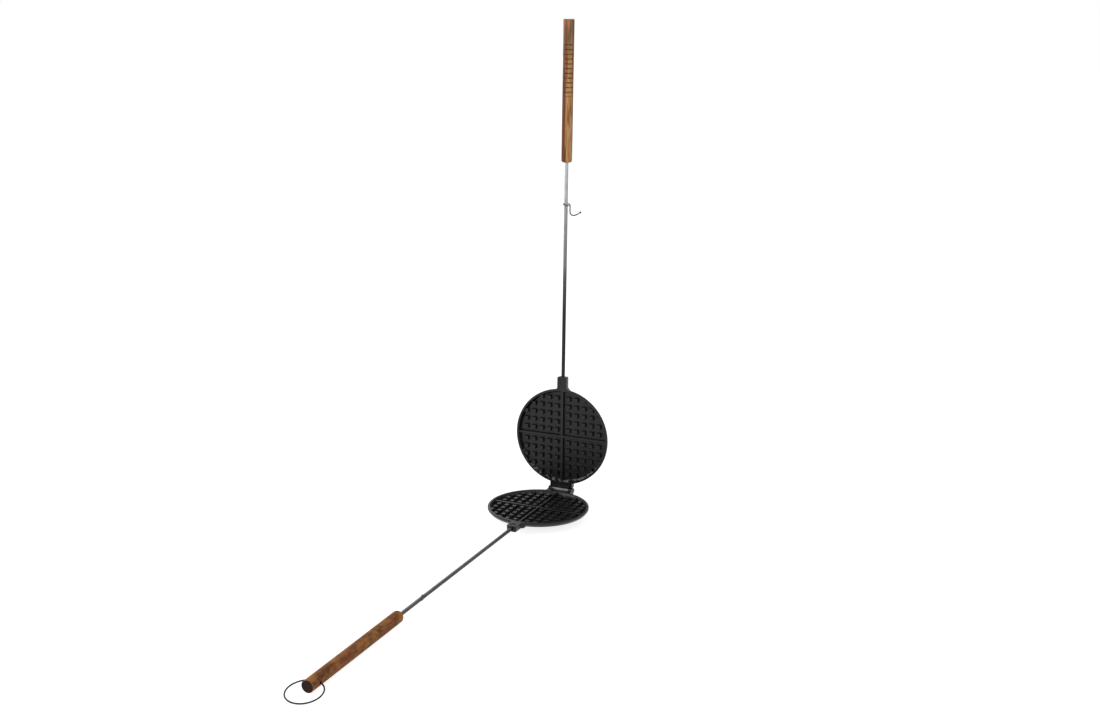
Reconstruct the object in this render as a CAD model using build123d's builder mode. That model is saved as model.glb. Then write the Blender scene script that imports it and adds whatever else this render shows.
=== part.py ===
from build123d import *
from math import asin, cos, hypot, radians, sin, sqrt, tan
import os

# A round cast-iron waffle iron on two long steel rods, standing open. Each half is drawn in its own
# frame: z = 0 is the plane in which the two halves meet, the iron lies below it, the handle points
# along -Y and the hinge lies along +Y. The world origin is the centre of the lower half's foot.

# Plate
plate_radius = 90.0
plate_depth = 22.0  # from the foot's face to the plane where the halves meet
rim_gap = 0.1  # how far each half's top face stays short of that plane
rim_edge = 0.6  # bevel at the top of the rim
lip_height = 3.5
skirt_run = 4.0  # how far the skirt under the rim leans in
skirt_depth = 8.2
dome_depth = 14.0  # depth of the underside beside the foot
dome_bulge = 1.6
foot_radius = 47.5
foot_width = 5.5
foot_edge = 0.8

# Waffle grid
land_width = 4.0
land_step = 0.7
grid_depth = 7.5
web = 5.5  # iron under the grid's floor
wall_run = 2.7  # how far the steep inner wall leans in
wall_foot = 0.5
stud_height = 5.2
stud_top = 6.5
stud_bevel = 0.4
first_stud = 11.5
stud_pitch = 15.0
stud_margin = 3.0  # no stud is centred nearer to the land than this
rib_top = 3.0
rib_inset = 0.6  # of the ribs' ends from the land, inside the steep wall
casting_draft = 7.0

# Handle socket
socket_length = 23.2  # from the rim to the mouth
socket_width = 18.5
socket_corner = 3.0
socket_edge = 1.6
socket_flare = 4.5
socket_flare_length = 5.0
socket_overlap = 12.0  # how far the socket runs in under the grid
socket_draft = 3.0
panel_width = 8.0
panel_length = 10.0
panel_depth = 0.8
panel_corner = 1.5
panel_margin = 3.5

# Rod, its lock pin and its crimp
rod_radius = 3.25
rod_cover = 2.25  # iron above and below the rod at the socket's mouth
rod_in_socket = 24.0
rod_in_handle = 60.0
bore_fit = 0.03
bore_end = 0.3
lock_pin_radius = 1.5
lock_pin_inset = 12.5
lock_pin_short = 0.95  # how far the pin's tip stays short of the rod's far side
crimp_length = 8.0
crimp_rise = 1.25
crimp_thickness = 1.6
crimp_slope = 69.0  # degrees
upper_crimp_gap = 79.7  # from the crimp's middle to the handle
lower_crimp_gap = 71.8

# Handle
handle_radius = 9.5
handle_length = 244.2
handle_start = 385.6  # distance from the socket's mouth
handle_round = 4.0
handle_edge = 0.7

# Hinge
hinge_clearance = 10.0  # from the rim to the hinge axis
pin_radius = 2.6
pin_recess = 0.4  # of the pin's ends in the ears
pin_edge = 0.6
pin_fit = 0.03
ear_gap = 31.0
ear_width = 8.0
ear_wall = 0.8  # iron over the pin
ear_flat = 6.0  # the stop, behind the pin
ear_tail = 11.0
ear_tail_depth = 1.2
ear_tail_round = 1.8
ear_drop = 8.0
root_overlap = 1.0  # how far the ears and the tongue reach in under the rim
knuckle_side_gap = 0.2
knuckle_wall = 3.3
knuckle_lip = 0.5
knuckle_edge = 0.3
knuckle_fit = 0.1
heel_width = 6.0  # of the tongue over each ear
tongue_step = 1.2  # of its face below the meeting plane
tongue_depth = 11.5
tongue_wedge = 16.0  # how far the tongue runs in under the grid
tongue_round = 3.0
shoulder_gap = 1.2
heel_gap = 0.05
heel_start = 2.7

# Hang ring
ring_radius = 26.4  # to the middle of the wire
ring_wire = 1.15
ring_clearance = 0.37
ring_hole_inset = 18.5  # from the handle's end
ring_floor_gap = 0.05

# Latch hook
hook_wire = 1.15
hook_ball = 1.9
hook_bend = 3.0
eye_clearance = 0.35
eye_seat_gap = 0.3
eye_rise = 1.3  # the eye's side away from the hook stands this much higher
eye_end = 1.2
leg_offset = 1.15  # of the leg from the eye's side
leg_length = 19.4
leg_bend = 6.0
throat_clearance = 2.2
throat_start = 3.0  # the throat's floor begins this far before the shut lower rod's axis
throat_end = 3.0  # and ends this far beyond it
throat_drop = 18.4
throat_rise = 2.5  # from the start of the floor to its end
tip_clearance = 1.8
tip_reach = 10.8  # from the shut lower rod's axis
tip_rise = 7.0
tip_side = 1.5

cavity_radius = plate_radius - land_width
skirt_radius = plate_radius - skirt_run
stud_reach = cavity_radius - stud_margin
socket_reach = plate_radius + socket_length
socket_root = cavity_radius - socket_overlap
rod_depth = rod_radius + rod_cover
socket_depth = 2 * rod_depth
lock_pin_cover = rod_cover + lock_pin_short
handle_end = handle_start + handle_length

hinge_reach = plate_radius + hinge_clearance
pin_length = ear_gap + 2 * (ear_width - pin_recess)
ear_radius = pin_radius + ear_wall
ear_root = hinge_reach - sqrt(plate_radius**2 - (ear_gap / 2 + ear_width) ** 2) + root_overlap
knuckle_radius = pin_radius + knuckle_fit + knuckle_wall
tongue_width = ear_gap + 2 * heel_width
tongue_seat = hinge_reach - sqrt(plate_radius**2 - (tongue_width / 2) ** 2) + root_overlap
tongue_root = hinge_clearance + tongue_wedge

rod_slope = asin((plate_depth - handle_radius - rod_depth) / handle_end)

lower_half = Plane(origin=(0, 0, plate_depth))
upper_half = Plane(
    origin=(0, hinge_reach, plate_depth + hinge_reach), x_dir=(-1, 0, 0), z_dir=(0, -1, 0)
)


def rod_frame(half, distance=0.0):
    """Plane across the rod, its z axis pointing along the rod towards the handle."""
    along = half.y_dir * -cos(rod_slope) + half.z_dir * -sin(rod_slope)
    mouth = half.from_local_coords(Vector(0, -socket_reach, -rod_depth))
    return Plane(origin=mouth + along * distance, x_dir=half.x_dir, z_dir=along)


def hinge_side(half):
    """Plane square to the hinge, with its x axis pointing away from the plate."""
    axis = half.from_local_coords(Vector(0, hinge_reach, 0))
    return Plane(origin=axis, x_dir=half.y_dir, z_dir=half.x_dir)


def stud_places():
    """Centres of the studs: one quadrant's grid, repeated in all four."""
    count = int((stud_reach - first_stud) / stud_pitch) + 1
    steps = [first_stud + stud_pitch * i for i in range(count)]
    quadrant = [(x, y) for x in steps for y in steps if hypot(x, y) <= stud_reach]
    return [(x * i, y * j) for x, y in quadrant for i in (-1, 1) for j in (-1, 1)]


def build_grid():
    """Studs and the two crossing ribs, cut off inside the steep inner wall."""
    straight = stud_height - stud_bevel
    spread = 2 * straight * tan(radians(casting_draft))
    with BuildPart() as grid:
        for rise, height, taper, growth in (
            (0, straight, casting_draft, 2 * stud_bevel + spread),
            (straight, stud_bevel, 45, 2 * stud_bevel),
        ):
            with BuildSketch(Plane.XY.offset(rise - grid_depth)):
                with Locations(*stud_places()):
                    Rectangle(stud_top + growth, stud_top + growth)
            extrude(amount=height, taper=taper)
            for turn in (0, 90):
                with BuildSketch(Plane.XY.offset(rise - grid_depth)):
                    Rectangle(2 * plate_radius, rib_top + growth, rotation=turn)
                extrude(amount=height, taper=taper)
        Cylinder(cavity_radius - rib_inset, 2 * plate_depth, mode=Mode.INTERSECT)
    return grid.part


def build_blank():
    """What both halves share: the plate with its grid and its handle socket."""
    half_width = socket_width / 2
    flare_x = half_width + socket_flare
    flare_y = sqrt(plate_radius**2 - flare_x**2)
    neck = flare_y + socket_flare_length
    foot_inner = foot_radius - foot_width
    axis = rod_frame(Plane.XY)
    with BuildPart() as blank:
        with BuildSketch(Plane.XY.offset(-rim_gap)):
            with BuildLine():
                FilletPolyline(
                    (0, -socket_reach), (half_width, -socket_reach), (half_width, -neck), radius=socket_corner
                )
                TangentArc((half_width, -neck), (flare_x, -flare_y), tangent=(0, 1))
                Polyline((flare_x, -flare_y), (flare_x, -socket_root), (0, -socket_root))
                mirror(about=Plane.YZ)
            make_face()
        extrude(amount=rim_gap - socket_depth, taper=socket_draft)
        fillet(blank.faces().sort_by(Axis.Z)[0].edges(), socket_edge)
        with BuildSketch(Plane.XZ):
            with BuildLine():
                Polyline(
                    (0, -rim_gap),
                    (plate_radius - rim_edge, -rim_gap),
                    (plate_radius, -rim_gap - rim_edge),
                    (plate_radius, -lip_height),
                    (skirt_radius, -skirt_depth),
                )
                SagittaArc((skirt_radius, -skirt_depth), (foot_radius + foot_edge, -dome_depth), -dome_bulge)
                Polyline(
                    (foot_radius + foot_edge, -dome_depth),
                    (foot_radius, -plate_depth + foot_edge),
                    (foot_radius - foot_edge, -plate_depth),
                    (foot_inner + foot_edge, -plate_depth),
                    (foot_inner, -plate_depth + foot_edge),
                    (foot_inner - foot_edge, -grid_depth - web),
                    (0, -grid_depth - web),
                    (0, -rim_gap),
                )
            make_face()
        revolve(axis=Axis.Z)
        with BuildSketch(Plane.XZ):
            with BuildLine():
                Polyline(
                    (0, 0),
                    (cavity_radius, 0),
                    (cavity_radius, -land_step),
                    (cavity_radius - wall_run, -grid_depth + wall_foot),
                    (cavity_radius - wall_run - wall_foot, -grid_depth),
                    (0, -grid_depth),
                    close=True,
                )
            make_face()
        revolve(axis=Axis.Z, mode=Mode.SUBTRACT)
        add(build_grid())
        with BuildSketch(Plane.XY.offset(-rim_gap)):
            with Locations((0, -socket_reach + panel_margin + panel_length / 2)):
                RectangleRounded(panel_width, panel_length, panel_corner)
        extrude(amount=-panel_depth, mode=Mode.SUBTRACT)
        with BuildSketch(axis.offset(bore_end)):
            Circle(rod_radius + bore_fit)
        extrude(amount=-rod_in_socket - 2 * bore_end, mode=Mode.SUBTRACT)
        with BuildSketch(Plane.XY.offset(-socket_depth)):
            with Locations((0, lock_pin_inset - socket_reach)):
                Circle(lock_pin_radius + bore_fit)
        extrude(amount=socket_depth - lock_pin_cover + bore_end, mode=Mode.SUBTRACT)
    return blank.part


def build_rod(half, crimp_gap):
    """Steel rod with its cross hole and one crimp, whose two ears point across the meeting plane."""
    with BuildPart() as rod:
        with BuildSketch(rod_frame(half, -rod_in_socket)):
            Circle(rod_radius)
        extrude(amount=rod_in_socket + handle_start + rod_in_handle)
        middle = rod_frame(half, handle_start - crimp_gap)
        crimp_reach = rod_radius + crimp_rise
        with BuildSketch(Plane(origin=middle.origin, x_dir=middle.z_dir, z_dir=middle.x_dir)):
            Trapezoid(crimp_length, crimp_reach, crimp_slope, align=(Align.CENTER, Align.MIN))
            Trapezoid(crimp_length, crimp_reach, crimp_slope, rotation=180, align=(Align.CENTER, Align.MIN))
        extrude(amount=crimp_thickness / 2, both=True)
        with BuildSketch(lock_pin_frame(half)):
            Circle(lock_pin_radius + bore_fit)
        extrude(amount=plate_depth, both=True, mode=Mode.SUBTRACT)
    return rod.part


def lock_pin_frame(half):
    """Plane of the pin's tip, at the depth where it stops short of the meeting plane."""
    tip = half.from_local_coords(Vector(0, lock_pin_inset - socket_reach, -lock_pin_cover))
    return Plane(origin=tip, x_dir=half.x_dir, z_dir=half.z_dir)


def build_lock_pin(half):
    with BuildPart() as lock_pin:
        with BuildSketch(lock_pin_frame(half)):
            Circle(lock_pin_radius)
        extrude(amount=lock_pin_cover - socket_depth + bore_end)
    return lock_pin.part


def build_handle(half):
    """Turned wooden handle, rounded where the rod enters and crisp at its end."""
    front = rod_frame(half, handle_start)
    with BuildPart() as handle:
        with BuildSketch(front):
            Circle(handle_radius)
        extrude(amount=handle_length)
        ends = handle.edges().filter_by(GeomType.CIRCLE).sort_by(Axis(front.origin, front.z_dir))
        fillet(ends[0], handle_round)
        chamfer(ends[-1], handle_edge)
        with BuildSketch(front):
            Circle(rod_radius + bore_fit)
        extrude(amount=rod_in_handle + bore_end, mode=Mode.SUBTRACT)
    return handle.part


blank = build_blank()

# Lower half: the ears carry the pin, and their flat tails are the stop of the open iron.
ear_side = hinge_side(lower_half)
with BuildPart() as lower_plate:
    with Locations(lower_half):
        add(blank)
    for place, depth in ((ear_gap / 2, ear_width), (-ear_gap / 2, -ear_width)):
        with BuildSketch(ear_side.offset(place)):
            with BuildLine():
                Polyline((-ear_root, -ear_drop), (-ear_root, -rim_gap), (-ear_radius, -rim_gap), (-ear_radius, 0))
                RadiusArc((-ear_radius, 0), (0, ear_radius), ear_radius)
                FilletPolyline(
                    (0, ear_radius),
                    (ear_flat, ear_radius),
                    (ear_tail, -ear_tail_depth),
                    (ear_tail - ear_tail_round, -ear_drop / 2),
                    (ear_radius, -ear_drop),
                    (-ear_root, -ear_drop),
                    radius=ear_tail_round,
                )
            make_face()
        extrude(amount=depth)
    with BuildSketch(ear_side):
        Circle(pin_radius + pin_fit)
    extrude(amount=pin_length, both=True, mode=Mode.SUBTRACT)

# Upper half: the tongue's knuckle hooks round the pin, and its heel rests on the ears' tails.
tongue_side = hinge_side(upper_half)
with BuildPart() as upper_plate:
    with Locations(upper_half):
        add(blank)
    with BuildSketch(tongue_side):
        with BuildLine():
            Polyline(
                (-tongue_seat, -tongue_step),
                (-tongue_seat, -grid_depth - wall_foot),
                (-tongue_root, -grid_depth - web / 2),
                (-tongue_root, -dome_depth + dome_bulge),
                (-ear_radius - tongue_round, -tongue_depth),
                (-ear_radius - heel_gap, -tongue_depth),
                (-ear_radius - heel_gap, -heel_start),
                (-ear_radius - shoulder_gap, -heel_start + shoulder_gap),
                (-ear_radius - shoulder_gap, -tongue_step),
                close=True,
            )
        make_face()
    extrude(amount=tongue_width / 2, both=True)
    with BuildSketch(tongue_side):
        with BuildLine():
            FilletPolyline(
                (-tongue_seat, -tongue_step),
                (-knuckle_radius, -tongue_step),
                (-knuckle_radius, knuckle_lip),
                (knuckle_radius, knuckle_lip),
                (knuckle_radius, -knuckle_radius),
                (-ear_radius, -tongue_depth),
                (-tongue_seat, -tongue_depth),
                radius=(knuckle_edge, knuckle_edge, knuckle_edge, knuckle_radius / 2, tongue_round),
            )
            Line((-tongue_seat, -tongue_depth), (-tongue_seat, -tongue_step))
        make_face()
        Circle(pin_radius + knuckle_fit, mode=Mode.SUBTRACT)
        with Locations((0, knuckle_lip)):
            Rectangle(2 * (pin_radius + knuckle_fit), 2 * knuckle_lip, mode=Mode.SUBTRACT)
    extrude(amount=ear_gap / 2 - knuckle_side_gap, both=True)

with BuildPart() as hinge_pin:
    with BuildSketch(ear_side):
        Circle(pin_radius)
    extrude(amount=pin_length / 2, both=True)
    chamfer(hinge_pin.edges().filter_by(GeomType.CIRCLE), pin_edge)

lower_rod = build_rod(lower_half, lower_crimp_gap)
upper_rod = build_rod(upper_half, upper_crimp_gap)
lower_rod_pin = build_lock_pin(lower_half)
upper_rod_pin = build_lock_pin(upper_half)
upper_handle = build_handle(upper_half)

# The lower handle also has the cross hole for the ring, whose wire curves inside it.
ring_sag = ring_radius - sqrt(ring_radius**2 - handle_radius**2)
ring_hole_radius = ring_wire + ring_sag / 2 + ring_clearance
ring_hole = rod_frame(lower_half, handle_end - ring_hole_inset)
with BuildPart() as lower_handle:
    add(build_handle(lower_half))
    with BuildSketch(Plane(origin=ring_hole.origin, x_dir=ring_hole.z_dir, z_dir=ring_hole.x_dir)):
        Circle(ring_hole_radius)
    extrude(amount=handle_radius, both=True, mode=Mode.SUBTRACT)

# The ring hangs down from the hole until its far side lies on the table.
ring_arm = ring_radius - ring_sag / 2
ring_fall = asin((ring_hole.origin.Z - ring_wire - ring_floor_gap) / (ring_arm + ring_radius))
ring_centre = ring_hole.origin + Vector(0, -cos(ring_fall), -sin(ring_fall)) * ring_arm
with BuildPart() as hang_ring:
    with Locations(Plane(origin=ring_centre, x_dir=(1, 0, 0), z_dir=(0, -sin(ring_fall), cos(ring_fall)))):
        Torus(ring_radius, ring_wire)

# The hook's eye goes once round the upper rod and sits on the crimp. Its points are (away from the
# rod in the photographed pose, sideways, along the rod towards the handle). The throat goes round
# the lower rod, whose axis lies at shut_spacing when the iron is shut.
eye = rod_radius + hook_wire + eye_clearance
eye_place = handle_start - upper_crimp_gap + crimp_length / 2 + hook_wire + eye_seat_gap
shut_spacing = 2 * (rod_depth + sin(rod_slope) * (eye_place - throat_drop))
hook_leg = eye + leg_offset
hook_throat = rod_radius + hook_wire + throat_clearance
hook_tip = shut_spacing + rod_radius + hook_wire + tip_clearance
rod_plane = rod_frame(upper_half, eye_place)
hook_frame = Plane(origin=rod_plane.origin, x_dir=(1, 0, 0), z_dir=rod_plane.z_dir)
with BuildPart() as latch_hook:
    with BuildLine(hook_frame) as hook_line:
        FilletPolyline(
            (eye, eye_end, -eye_rise),
            (eye, -eye, -eye_rise),
            (-eye, -eye, eye_rise),
            (-eye, eye, eye_rise),
            (hook_leg, eye, eye_rise),
            (hook_leg, eye, -leg_length),
            (shut_spacing - throat_start, hook_throat, -throat_drop),
            (shut_spacing + throat_end, hook_throat, throat_rise - throat_drop),
            (hook_tip, 0, tip_rise - throat_rise - throat_drop),
            (shut_spacing + tip_reach, -tip_side, tip_rise - throat_drop),
            radius=[eye - eye_clearance] * 3 + [hook_bend, leg_bend] + [hook_bend] * 3,
        )
    hook_path = hook_line.wires()[0]
    with BuildSketch(Plane(origin=hook_path @ 0, z_dir=hook_path % 0)):
        Circle(hook_wire)
    sweep(path=hook_path)
    with Locations(hook_path @ 1):
        Sphere(hook_ball)

pieces = {
    "lower_plate": lower_plate.part,
    "upper_plate": upper_plate.part,
    "hinge_pin": hinge_pin.part,
    "lower_rod": lower_rod,
    "upper_rod": upper_rod,
    "lower_rod_pin": lower_rod_pin,
    "upper_rod_pin": upper_rod_pin,
    "lower_handle": lower_handle.part,
    "upper_handle": upper_handle,
    "hang_ring": hang_ring.part,
    "latch_hook": latch_hook.part,
}
os.makedirs("parts", exist_ok=True)
for name, piece in pieces.items():
    piece.label = name
    export_step(piece, f"parts/{name}.step")
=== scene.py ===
"""A long-handled round cast-iron waffle iron, standing open on a white table.

Lengths are in metres and colours are linear, unless a line says otherwise.
"""
import math

import bpy
from mathutils import Matrix, Vector


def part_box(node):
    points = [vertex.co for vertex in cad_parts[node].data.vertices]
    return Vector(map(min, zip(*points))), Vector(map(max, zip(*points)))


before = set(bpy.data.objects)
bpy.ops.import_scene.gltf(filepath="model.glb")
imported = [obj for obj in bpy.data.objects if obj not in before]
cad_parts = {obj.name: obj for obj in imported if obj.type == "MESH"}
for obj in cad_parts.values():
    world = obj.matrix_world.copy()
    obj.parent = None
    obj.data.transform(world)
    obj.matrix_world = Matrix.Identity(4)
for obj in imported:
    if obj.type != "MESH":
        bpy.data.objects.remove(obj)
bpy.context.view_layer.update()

# ---------------------------------------------------------------- camera of the photograph
PHOTO_WIDTH = 1100  # pixels
FOCAL_PIXELS = 1440.1
SENSOR_WIDTH = 36.0  # millimetres
CAMERA_TARGET = Vector((0.0201, 0.0, 0.2916))
CAMERA_DISTANCE = 2.4921
CAMERA_AZIMUTH = math.radians(23.755)
CAMERA_ELEVATION = math.radians(13.991)
CAMERA_ROLL = math.radians(0.557)
CAMERA_REACH = 50.0

# ---------------------------------------------------------------- table and light
TABLE_SIZE = 40.0
TABLE_WHITE = (0.82, 0.82, 0.82)
TABLE_GLOW = 0.80  # where the table is seen directly
WORLD_WHITE = (1, 1, 1)
WORLD_LIGHT = 0.40  # strength as light; seen directly, it is 1
LIGHT_AIM = Vector((0, 0, 0.25))
LAMPS = {  # name: place, size, watts
    "key": ((-2.7, -2.0, 1.6), (3.0, 2.6), 52),
    "fill": ((2.0, -3.0, 1.4), (1.8, 1.8), 12),
}

# ---------------------------------------------------------------- rods and handles
UPPER_HANDLE_LOW, UPPER_HANDLE_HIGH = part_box("upper_handle")
HANDLE_RADIUS = (UPPER_HANDLE_HIGH[0] - UPPER_HANDLE_LOW[0]) / 2
UPPER_END = UPPER_HANDLE_HIGH[2]
LOWER_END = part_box("lower_handle")[0][1]
END_FACE_DEPTH = 0.0003
END_RIM_DEPTH = 0.0008
ROD_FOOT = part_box("upper_plate")[1][2]
ROD_HEAD = UPPER_HANDLE_LOW[2]
ROD_PAINTED_SHADE_STOPS = (  # place on the rod from foot to head, and how far the steel shows through the painted shade there
    (0.30, 0.0), (0.48, 0.15), (0.53, 0.34), (0.62, 0.45), (0.72, 0.58), (0.85, 0.88), (1.0, 1.0)
)

# ---------------------------------------------------------------- figure of the woods
# A stretch is how much faster the figure changes over the grain than along it.
GRAIN_STRETCH = 16.0
MOTTLE_STRETCH = 2.5
HEART_AND_SHADE_STRETCH = 6.0
PATCH_STRETCH = 1.5
OLIVE_STRETCH = 1.6
FIBRE_SHADE = 0.6  # how strongly the fibres darken the grain
RING_SCALE = 420.0  # growth rings on a cut end
WOOD_SPECULAR = 0.12

# ---------------------------------------------------------------- marks on the upper handle
MARKED_SIDE = math.radians(-23.755)  # the side that bears the burnt marks, with painted dark flanks either side of it
PALE_SHIFT = 0.0022  # of the pale middle between the painted dark flanks, across that side
HEART_AND_SHADE_RAGGED = HANDLE_RADIUS * 0.5
TICK_PITCH = 0.0080
TICK_WIDTH = 0.0023
TICK_BLURS = (0.7, 0.3)  # of the width, from clear wood to full burn
TICK_HALF_LENGTH = 0.0076
TICK_SHIFT = 0.0004
TICKS_START = UPPER_END - 0.131
TICKS_END = UPPER_END - 0.0415
GRIP_FADE = 0.030  # the grip's stain starts this far below the ticks' end and the handle's end

# ---------------------------------------------------------------- painted glints in the upper plate
PLATE_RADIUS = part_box("lower_plate")[1][0]
PIN_LOW, PIN_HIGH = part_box("hinge_pin")
UPPER_CENTRE = PIN_LOW[2] + PIN_HIGH[1]  # its height: the hinge's, and the hinge's reach
WALL_INSET = 0.0052  # from the plate's edge to the middle of the cavity's wall
WALL_HALF_WIDTH = 0.0014
CAVITY_DEPTH = 0.009  # from the upper plate's foremost point to just behind its grid's floor
CAVITY_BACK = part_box("upper_plate")[0][1] + CAVITY_DEPTH
PAINTED_GLINTS_START = -PLATE_RADIUS * 0.25  # heights over the plate's centre
PAINTED_GLINTS_FULL = -PLATE_RADIUS * 0.6

# ---------------------------------------------------------------- iron and steel
IRON_SPECULAR = 0.32
IRON_EDGE = 0.0005  # softened in the shading alone
TOP_HIGHLIGHT_STARTS = 0.82  # upward part of the surface's direction, where the painted top highlight starts
TOP_HIGHLIGHT_FULL = 0.98
STEEL_SMOOTHER = 0.06  # how far the fine grain takes the roughness down
STEEL_ROUGHER = 0.08  # and up

# ---------------------------------------------------------------- colours
IRON_DARK = (0.0028, 0.0026, 0.0030)
IRON_MIDDLE = (0.0048, 0.0045, 0.0052)
IRON_LIGHT = (0.0090, 0.0085, 0.0095)
IRON_WORN = (0.018, 0.017, 0.019)
# Painted glints: light caught on the oily wall low in the upper plate
IRON_PAINTED_GLINT = (0.24, 0.23, 0.23)
# Painted shade on the upper rod towards the iron, in place of its changing reflection
PAINTED_SHADE_BLACK = (0.028, 0.027, 0.028)
# Painted highlight on the lower rod's upper side
TOP_HIGHLIGHT_STEEL = (0.50, 0.50, 0.51)
UPPER_TONES = ((0.93, 0.57, 0.27), (0.58, 0.270, 0.095), (0.21, 0.064, 0.020))
LOWER_TONES = ((0.44, 0.190, 0.074), (0.27, 0.106, 0.044), (0.100, 0.036, 0.020))
# Dark flanks of the upper handle: partly heartwood, partly painted shade
UPPER_HEART_AND_SHADE = (0.16, 0.045, 0.022)
UPPER_STAIN = (0.20, 0.120, 0.070)
UPPER_PINK = (0.60, 0.25, 0.16)
LOWER_GOLD = (0.52, 0.225, 0.050)
LOWER_RED = (0.25, 0.062, 0.022)
LOWER_OLIVE = (0.11, 0.062, 0.020)
UPPER_CUT = (0.20, 0.11, 0.055)
LOWER_CUT = (0.042, 0.018, 0.013)
# Painted highlight on the chamfer round a cut end
CUT_RIM_HIGHLIGHT = (0.52, 0.22, 0.13)
BURNT = (0.12, 0.034, 0.013)

# Sockets of Blender's Mix node that belong to colours
MIX_FACTOR, MIX_FIRST, MIX_SECOND, MIX_RESULT = 0, 6, 7, 2


# ---------------------------------------------------------------- node kit
class Tree:
    """A node tree, and short calls that add nodes to it."""

    def __init__(self, tree):
        self.tree = tree

    def feed(self, socket, value):
        """Links a node's output to this input, or puts a constant on it."""
        if isinstance(value, bpy.types.NodeSocket):
            self.tree.links.new(value, socket)
        elif socket.type == "RGBA":
            socket.default_value = (*value, 1)
        else:
            socket.default_value = value

    def node(self, kind, output=0, inputs=None, **settings):
        """Adds a node and gives one of its outputs."""
        made = self.tree.nodes.new(kind)
        for name, value in settings.items():
            setattr(made, name, value)
        for name, value in (inputs or {}).items():
            self.feed(made.inputs[name], value)
        return made.outputs[output]

    def math(self, operation, *numbers):
        return self.node("ShaderNodeMath", inputs=dict(enumerate(numbers)), operation=operation)

    def product(self, first, *others):
        """Everything multiplied together."""
        for other in others:
            first = self.math("MULTIPLY", first, other)
        return first


class Material(Tree):
    """A material with a Principled shader at its end, and short calls for the nodes before it."""

    def __init__(self, name, metallic=0.0):
        self.material = bpy.data.materials.new(name)
        self.material.use_nodes = True
        super().__init__(self.material.node_tree)
        self.set("Metallic", metallic)

    def set(self, name, value):
        """Feeds one of the shader's own sockets."""
        self.feed(self.tree.nodes["Principled BSDF"].inputs[name], value)

    def place(self, scale=(1, 1, 1), turn=(0, 0, 0), shift=(0, 0, 0)):
        """Object coordinates in metres: stretched by scale, then turned, then shifted."""
        point = self.node("ShaderNodeTexCoord", "Object")
        inputs = {"Vector": point, "Scale": scale, "Rotation": turn, "Location": shift}
        return self.node("ShaderNodeMapping", inputs=inputs)

    def axis(self, letter, point=None):
        """One coordinate of a point, which is the object's own where none is given."""
        point = point or self.node("ShaderNodeTexCoord", "Object")
        return self.node("ShaderNodeSeparateXYZ", letter, {0: point})

    def noise(self, point, scale, detail=4.0, roughness=0.55, distortion=0.0):
        inputs = {
            "Vector": point, "Scale": scale, "Detail": detail,
            "Roughness": roughness, "Distortion": distortion,
        }
        return self.node("ShaderNodeTexNoise", "Fac", inputs)

    def ramp(self, factor, *stops):
        """Colour ramp: stops are (place, colour) with a grey or an (r, g, b)."""
        made = self.tree.nodes.new("ShaderNodeValToRGB")
        elements = made.color_ramp.elements
        while len(elements) < len(stops):
            elements.new(0.5)
        for element, (place, colour) in zip(elements, stops):
            rgb = (colour,) * 3 if isinstance(colour, (int, float)) else colour
            element.position = place
            element.color = (*rgb, 1)
        self.feed(made.inputs["Fac"], factor)
        return made.outputs["Color"]

    def mix(self, factor, first, second, blend="MIX"):
        inputs = {MIX_FACTOR: factor, MIX_FIRST: first, MIX_SECOND: second}
        return self.node("ShaderNodeMix", MIX_RESULT, inputs, data_type="RGBA", blend_type=blend)

    def fade(self, value, start, end):
        """0 at start, 1 at end and clamped outside."""
        inputs = {"Value": value, "From Min": start, "From Max": end}
        return self.node("ShaderNodeMapRange", inputs=inputs)

    def bump(self, height, distance, strength, normal=None):
        inputs = {"Height": height, "Distance": distance, "Strength": strength}
        if normal is not None:
            inputs["Normal"] = normal
        return self.node("ShaderNodeBump", "Normal", inputs)


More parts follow.
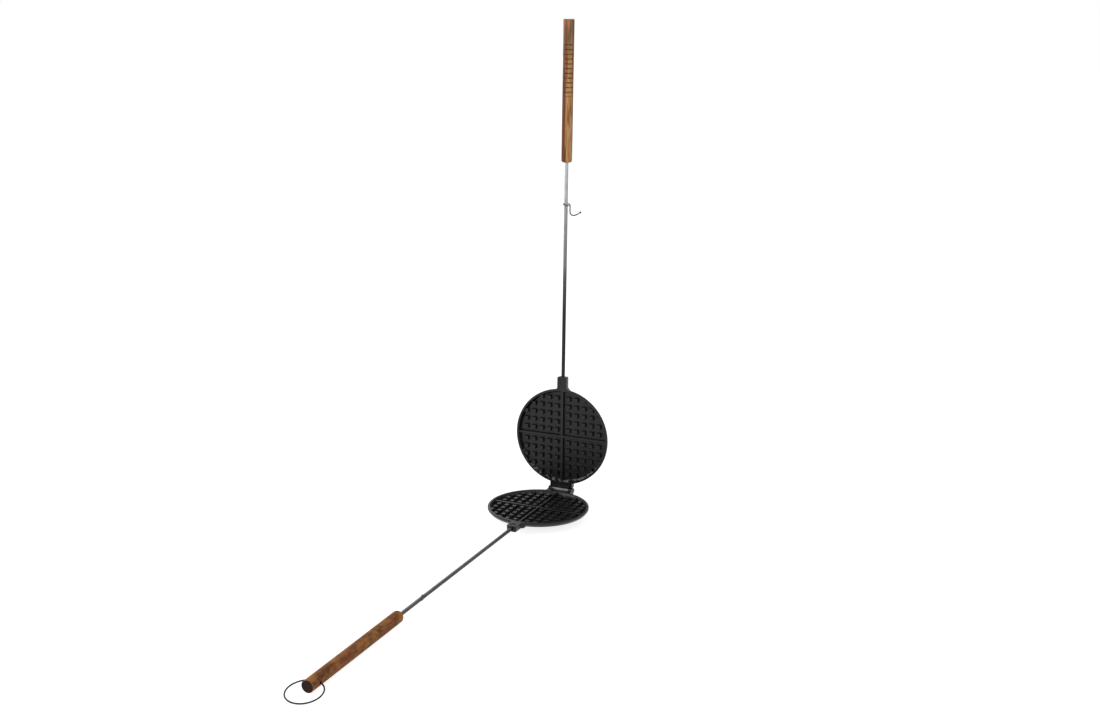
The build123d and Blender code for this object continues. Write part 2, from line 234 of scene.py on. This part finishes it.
class Wood(Material):
    """Turned dowel: long grain lines and mottled stain along the longest axis of its node."""

    def __init__(self, name, node, tones):
        super().__init__(name)
        pale, middle, dark = tones
        low, high = (Vector(corner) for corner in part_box(node))
        self.centre = (low + high) / 2
        self.along = max("XYZ", key=lambda letter: (high - low)["XYZ".index(letter)])
        fine, mottled = self.drawn_out(GRAIN_STRETCH), self.drawn_out(MOTTLE_STRETCH)
        self.fibre = self.noise(fine, scale=55.0, roughness=0.7)
        lines = self.noise(fine, scale=12.0, detail=5.0, distortion=0.3)
        mottle = self.noise(mottled, scale=55.0)
        grain = self.ramp(
            lines,
            (0.34, dark), (0.43, middle), (0.52, pale), (0.60, middle), (0.68, pale), (0.80, dark),
        )
        shade = self.ramp(self.fibre, (0.35, 0.62), (0.6, 1.0))
        grain = self.mix(FIBRE_SHADE, grain, shade, "MULTIPLY")
        self.colour = self.mix(self.ramp(mottle, (0.42, 0.0), (0.68, 0.55)), grain, middle)

    def drawn_out(self, across):
        """Object coordinates that run across times faster over the grain than along it."""
        return self.place(scale=[1.0 if letter == self.along else across for letter in "XYZ"])

    def stain(self, mask, colour):
        self.colour = self.mix(mask, self.colour, colour)

    def facing(self, angle):
        """Coordinates about the handle's axis, with X across the side that this angle gives."""
        turn = Matrix.Rotation(angle, 3, self.along)
        return self.place(turn=turn.to_euler(), shift=-(turn @ self.centre))

    def cut_end(self, end, cut):
        """Rings of end grain on the face at this place along the handle, inside a paler rim that is
        a painted highlight on the chamfer.
        """
        point = self.place(shift=-self.centre)
        inputs = {"Vector": point, "Scale": RING_SCALE, "Distortion": 2.0, "Detail": 2.0}
        settings = {"wave_type": "RINGS", "rings_direction": self.along}
        rings = self.node("ShaderNodeTexWave", "Fac", inputs, **settings)
        self.stain(self.math("COMPARE", self.axis(self.along), end, END_RIM_DEPTH), CUT_RIM_HIGHLIGHT)
        face = self.math("COMPARE", self.axis(self.along), end, END_FACE_DEPTH)
        self.stain(face, self.mix(rings, cut, [tone / 2 for tone in cut]))

    def finish(self):
        self.set("Base Color", self.colour)
        self.set("Roughness", self.ramp(self.fibre, (0.3, 0.72), (0.7, 0.52)))
        self.set("Specular IOR Level", WOOD_SPECULAR)
        self.set("Normal", self.bump(self.fibre, distance=0.0003, strength=0.5))
        return self.material


# ---------------------------------------------------------------- materials
def cast_iron():
    """Seasoned sand-cast iron: near black, fine pitted skin, oily gloss in patches, soft edges,
    painted glints low in the upper plate.
    """
    iron = Material("cast_iron")
    point = iron.place()
    broad = iron.noise(point, scale=34.0, detail=5.0)
    patches = iron.noise(point, scale=150.0, roughness=0.6, distortion=0.3)
    grain = iron.noise(point, scale=900.0, detail=3.0, roughness=0.6)
    pits = iron.noise(point, scale=2600.0, detail=2.0)
    base = iron.ramp(broad, (0.3, IRON_DARK), (0.5, IRON_MIDDLE), (0.72, IRON_LIGHT))
    worn = iron.mix(iron.ramp(patches, (0.55, 0.0), (0.72, 0.7)), base, IRON_WORN)
    worn = iron.mix(iron.ramp(grain, (0.45, 0.0), (0.7, 0.3)), worn, IRON_WORN)
    # Painted highlight: broken glints on the lower wall of the upper plate's grid
    painted_glints = iron.product(painted_glint_wall(iron), iron.ramp(patches, (0.51, 0.0), (0.55, 1.0)))
    iron.set("Base Color", iron.mix(painted_glints, worn, IRON_PAINTED_GLINT))
    iron.set("Roughness", iron.ramp(patches, (0.35, 0.27), (0.7, 0.46)))
    iron.set("Specular IOR Level", IRON_SPECULAR)
    edges = iron.node("ShaderNodeBevel", inputs={"Radius": IRON_EDGE}, samples=4)
    skin = iron.bump(pits, distance=0.00015, strength=0.4, normal=edges)
    casting = iron.bump(grain, distance=0.0003, strength=0.3, normal=skin)
    iron.set("Normal", iron.bump(patches, distance=0.0009, strength=0.35, normal=casting))
    return iron.material


def painted_glint_wall(iron):
    """1 on the lower part of the steep wall round the upper plate's grid, where glints are painted.
    """
    centre = iron.place(shift=(0, 0, -UPPER_CENTRE))
    inputs = {0: centre, 1: (1, 0, 1)}
    upright = iron.node("ShaderNodeVectorMath", inputs=inputs, operation="MULTIPLY")
    radius = iron.node("ShaderNodeVectorMath", "Value", {0: upright}, operation="LENGTH")
    wall = iron.math("COMPARE", radius, PLATE_RADIUS - WALL_INSET, WALL_HALF_WIDTH)
    inside = iron.math("LESS_THAN", iron.axis("Y"), CAVITY_BACK)
    low = iron.fade(iron.axis("Z", centre), PAINTED_GLINTS_START, PAINTED_GLINTS_FULL)
    return iron.product(wall, inside, low)


def drawn_steel(name, light, dark, roughness, painted_shade=(), top_highlight=0.0):
    """Drawn bar or wire with a faint grain. Stops given for a rod paint it black towards the iron,
    painted shade in place of its changing reflection, and a strength given paints a highlight on
    the side that lies uppermost at rest."""
    steel = Material(name, metallic=1.0)
    point = steel.place()
    cloud = steel.noise(point, scale=90.0, detail=3.0)
    fine = steel.noise(point, scale=1400.0, detail=3.0)
    colour = steel.ramp(cloud, (0.35, light), (0.65, dark))
    # Painted shade: darker towards the iron, standing in for the rod's changing reflection
    if painted_shade:
        height = steel.fade(steel.axis("Z"), ROD_FOOT, ROD_HEAD)
        colour = steel.mix(steel.ramp(height, *painted_shade), PAINTED_SHADE_BLACK, colour)
    # Painted highlight: the side that lies uppermost at rest is made brighter
    if top_highlight:
        upward = steel.axis("Z", steel.node("ShaderNodeTexCoord", "Normal"))
        top = steel.ramp(upward, (TOP_HIGHLIGHT_STARTS, 0.0), (TOP_HIGHLIGHT_FULL, top_highlight))
        colour = steel.mix(top, colour, TOP_HIGHLIGHT_STEEL)
    gloss = ((0.3, roughness - STEEL_SMOOTHER), (0.7, roughness + STEEL_ROUGHER))
    steel.set("Base Color", colour)
    steel.set("Roughness", steel.ramp(fine, *gloss))
    steel.set("Normal", steel.bump(fine, distance=0.00008, strength=0.4))
    return steel.material


def upper_wood():
    """Pale golden dowel with dark red flanks, heartwood and painted shade both, a grey-brown end
    and a row of burnt tick marks.
    """
    timber = Wood("upper_wood", "upper_handle", UPPER_TONES)
    marked = timber.facing(MARKED_SIDE)
    across = timber.axis("X", marked)
    height = timber.axis("Z")
    streaks = timber.noise(timber.drawn_out(GRAIN_STRETCH), scale=14.0, detail=2.0)

    # Dark red flanks either side of the marked face: partly heartwood, partly painted shade where
    # the round handle turns from the light
    ragged = timber.product(timber.noise(timber.drawn_out(HEART_AND_SHADE_STRETCH), scale=24.0), HEART_AND_SHADE_RAGGED)
    heart_and_shade = timber.math("ABSOLUTE", timber.math("SUBTRACT", across, PALE_SHIFT))
    heart_and_shade = timber.math("DIVIDE", timber.math("ADD", heart_and_shade, ragged), HANDLE_RADIUS)
    timber.stain(timber.ramp(heart_and_shade, (0.76, 0.0), (1.0, 0.92)), UPPER_HEART_AND_SHADE)

    grip = timber.fade(height, TICKS_END - GRIP_FADE, UPPER_END - GRIP_FADE)
    grip = timber.product(grip, timber.ramp(streaks, (0.44, 0.9), (0.58, 0.25)))
    timber.stain(grip, UPPER_STAIN)
    blush = timber.fade(height, TICKS_START, TICKS_END)
    blush = timber.product(blush, timber.ramp(streaks, (0.52, 0.0), (0.62, 0.8)))
    timber.stain(blush, UPPER_PINK)

    clear, full = (TICK_WIDTH * blur for blur in TICK_BLURS)
    row_middle, half_row = (TICKS_START + TICKS_END) / 2, (TICKS_END - TICKS_START) / 2
    stroke = timber.math("PINGPONG", timber.math("SUBTRACT", height, TICKS_START), TICK_PITCH / 2)
    marks = timber.fade(stroke, clear, full)
    short = timber.math("COMPARE", across, TICK_SHIFT, TICK_HALF_LENGTH)
    front = timber.math("LESS_THAN", timber.axis("Y", marked), 0.0)
    row = timber.math("COMPARE", height, row_middle, half_row)
    uneven = timber.ramp(timber.noise(timber.place(), scale=300.0), (0.35, 0.4), (0.6, 0.95))
    timber.stain(timber.product(marks, short, front, row, uneven), BURNT)
    timber.cut_end(UPPER_END, UPPER_CUT)
    return timber.finish()


def lower_wood():
    """The same dowel, browner, with gold, red and olive patches and a dark end."""
    timber = Wood("lower_wood", "lower_handle", LOWER_TONES)
    patches = timber.noise(timber.drawn_out(PATCH_STRETCH), scale=52.0, detail=3.0)
    timber.stain(timber.ramp(patches, (0.48, 0.0), (0.64, 0.8)), LOWER_GOLD)
    timber.stain(timber.ramp(patches, (0.34, 0.8), (0.48, 0.0)), LOWER_RED)
    stains = timber.noise(timber.drawn_out(OLIVE_STRETCH), scale=48.0, detail=2.0)
    timber.stain(timber.ramp(stains, (0.33, 0.85), (0.42, 0.0)), LOWER_OLIVE)
    timber.cut_end(LOWER_END, LOWER_CUT)
    return timber.finish()


def paint(material, *names):
    """Gives CAD nodes their finish."""
    for name in names:
        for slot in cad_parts[name].material_slots:
            slot.material = material


# ---------------------------------------------------------------- camera, table and light
def photo_camera():
    """Camera where the photograph was taken, with the photograph's frame."""
    back = Vector((
        math.sin(CAMERA_AZIMUTH) * math.cos(CAMERA_ELEVATION),
        -math.cos(CAMERA_AZIMUTH) * math.cos(CAMERA_ELEVATION),
        math.sin(CAMERA_ELEVATION),
    ))
    level = (-back).cross(Vector((0, 0, 1))).normalized()
    rise = back.cross(level)
    right = level * math.cos(CAMERA_ROLL) + rise * math.sin(CAMERA_ROLL)
    up = rise * math.cos(CAMERA_ROLL) - level * math.sin(CAMERA_ROLL)
    data = bpy.data.cameras.new("photo_camera")
    data.sensor_fit = "HORIZONTAL"
    data.sensor_width = SENSOR_WIDTH
    data.lens = SENSOR_WIDTH * FOCAL_PIXELS / PHOTO_WIDTH
    data.clip_end = CAMERA_REACH
    camera = bpy.data.objects.new("photo_camera", data)
    axes = Matrix((right, up, back)).transposed().to_4x4()
    camera.matrix_world = Matrix.Translation(CAMERA_TARGET + back * CAMERA_DISTANCE) @ axes
    bpy.context.scene.collection.objects.link(camera)
    bpy.context.scene.camera = camera


def seen_directly(tree):
    """1 for rays that show the surroundings as white: from the eye, off metal or through glass."""
    seen = tree.node("ShaderNodeLightPath", "Is Camera Ray")
    for name in ("Is Glossy Ray", "Is Transmission Ray"):
        seen = tree.math("MAXIMUM", seen, tree.node("ShaderNodeLightPath", name))
    return seen


def white_table():
    """Wide white table: plain white to the eye, with a faint shadow close to the iron."""
    bpy.ops.mesh.primitive_plane_add(size=TABLE_SIZE)
    table = bpy.context.object
    table.name = "table"
    cover = bpy.data.materials.new("table_white")
    cover.use_nodes = True
    cover.node_tree.nodes.clear()
    tree = Tree(cover.node_tree)
    strength = tree.product(seen_directly(tree), TABLE_GLOW)
    lit = tree.node("ShaderNodeBsdfDiffuse", inputs={"Color": TABLE_WHITE})
    glow = tree.node("ShaderNodeEmission", inputs={"Strength": strength})
    both = tree.node("ShaderNodeAddShader", inputs={0: lit, 1: glow})
    end = cover.node_tree.nodes.new("ShaderNodeOutputMaterial")
    tree.feed(end.inputs["Surface"], both)
    table.data.materials.append(cover)


def white_world():
    """White surroundings: plain white to the eye, softer as light."""
    world = bpy.data.worlds.new("studio")
    bpy.context.scene.world = world
    world.use_nodes = True
    tree = Tree(world.node_tree)
    background = world.node_tree.nodes["Background"]
    inputs = {"Value": seen_directly(tree), "To Min": WORLD_LIGHT, "To Max": 1.0}
    tree.feed(background.inputs["Color"], WORLD_WHITE)
    tree.feed(background.inputs["Strength"], tree.node("ShaderNodeMapRange", inputs=inputs))


def soft_light(name, place, size, watts):
    """Rectangular lamp that faces the iron."""
    data = bpy.data.lights.new(name, "AREA")
    data.shape = "RECTANGLE"
    data.size, data.size_y = size
    data.energy = watts
    lamp = bpy.data.objects.new(name, data)
    lamp.location = place
    lamp.rotation_euler = (LIGHT_AIM - lamp.location).to_track_quat("-Z", "Y").to_euler()
    bpy.context.scene.collection.objects.link(lamp)


paint(cast_iron(), "lower_plate", "upper_plate")
paint(drawn_steel("upper_rod_steel", 0.42, 0.35, roughness=0.44, painted_shade=ROD_PAINTED_SHADE_STOPS), "upper_rod")
paint(drawn_steel("lower_rod_steel", 0.075, 0.045, roughness=0.34, top_highlight=0.35), "lower_rod")
paint(drawn_steel("ring_steel", 0.045, 0.012, roughness=0.28), "hang_ring")
paint(drawn_steel("hook_steel", 0.16, 0.05, roughness=0.30), "latch_hook")
pins = ("hinge_pin", "lower_rod_pin", "upper_rod_pin")
paint(drawn_steel("pin_steel", 0.21, 0.14, roughness=0.42), *pins)
paint(upper_wood(), "upper_handle")
paint(lower_wood(), "lower_handle")

photo_camera()
white_table()
white_world()
for name, (place, size, watts) in LAMPS.items():
    soft_light(name, place, size, watts)
bpy.context.scene.view_settings.view_transform = "Standard"
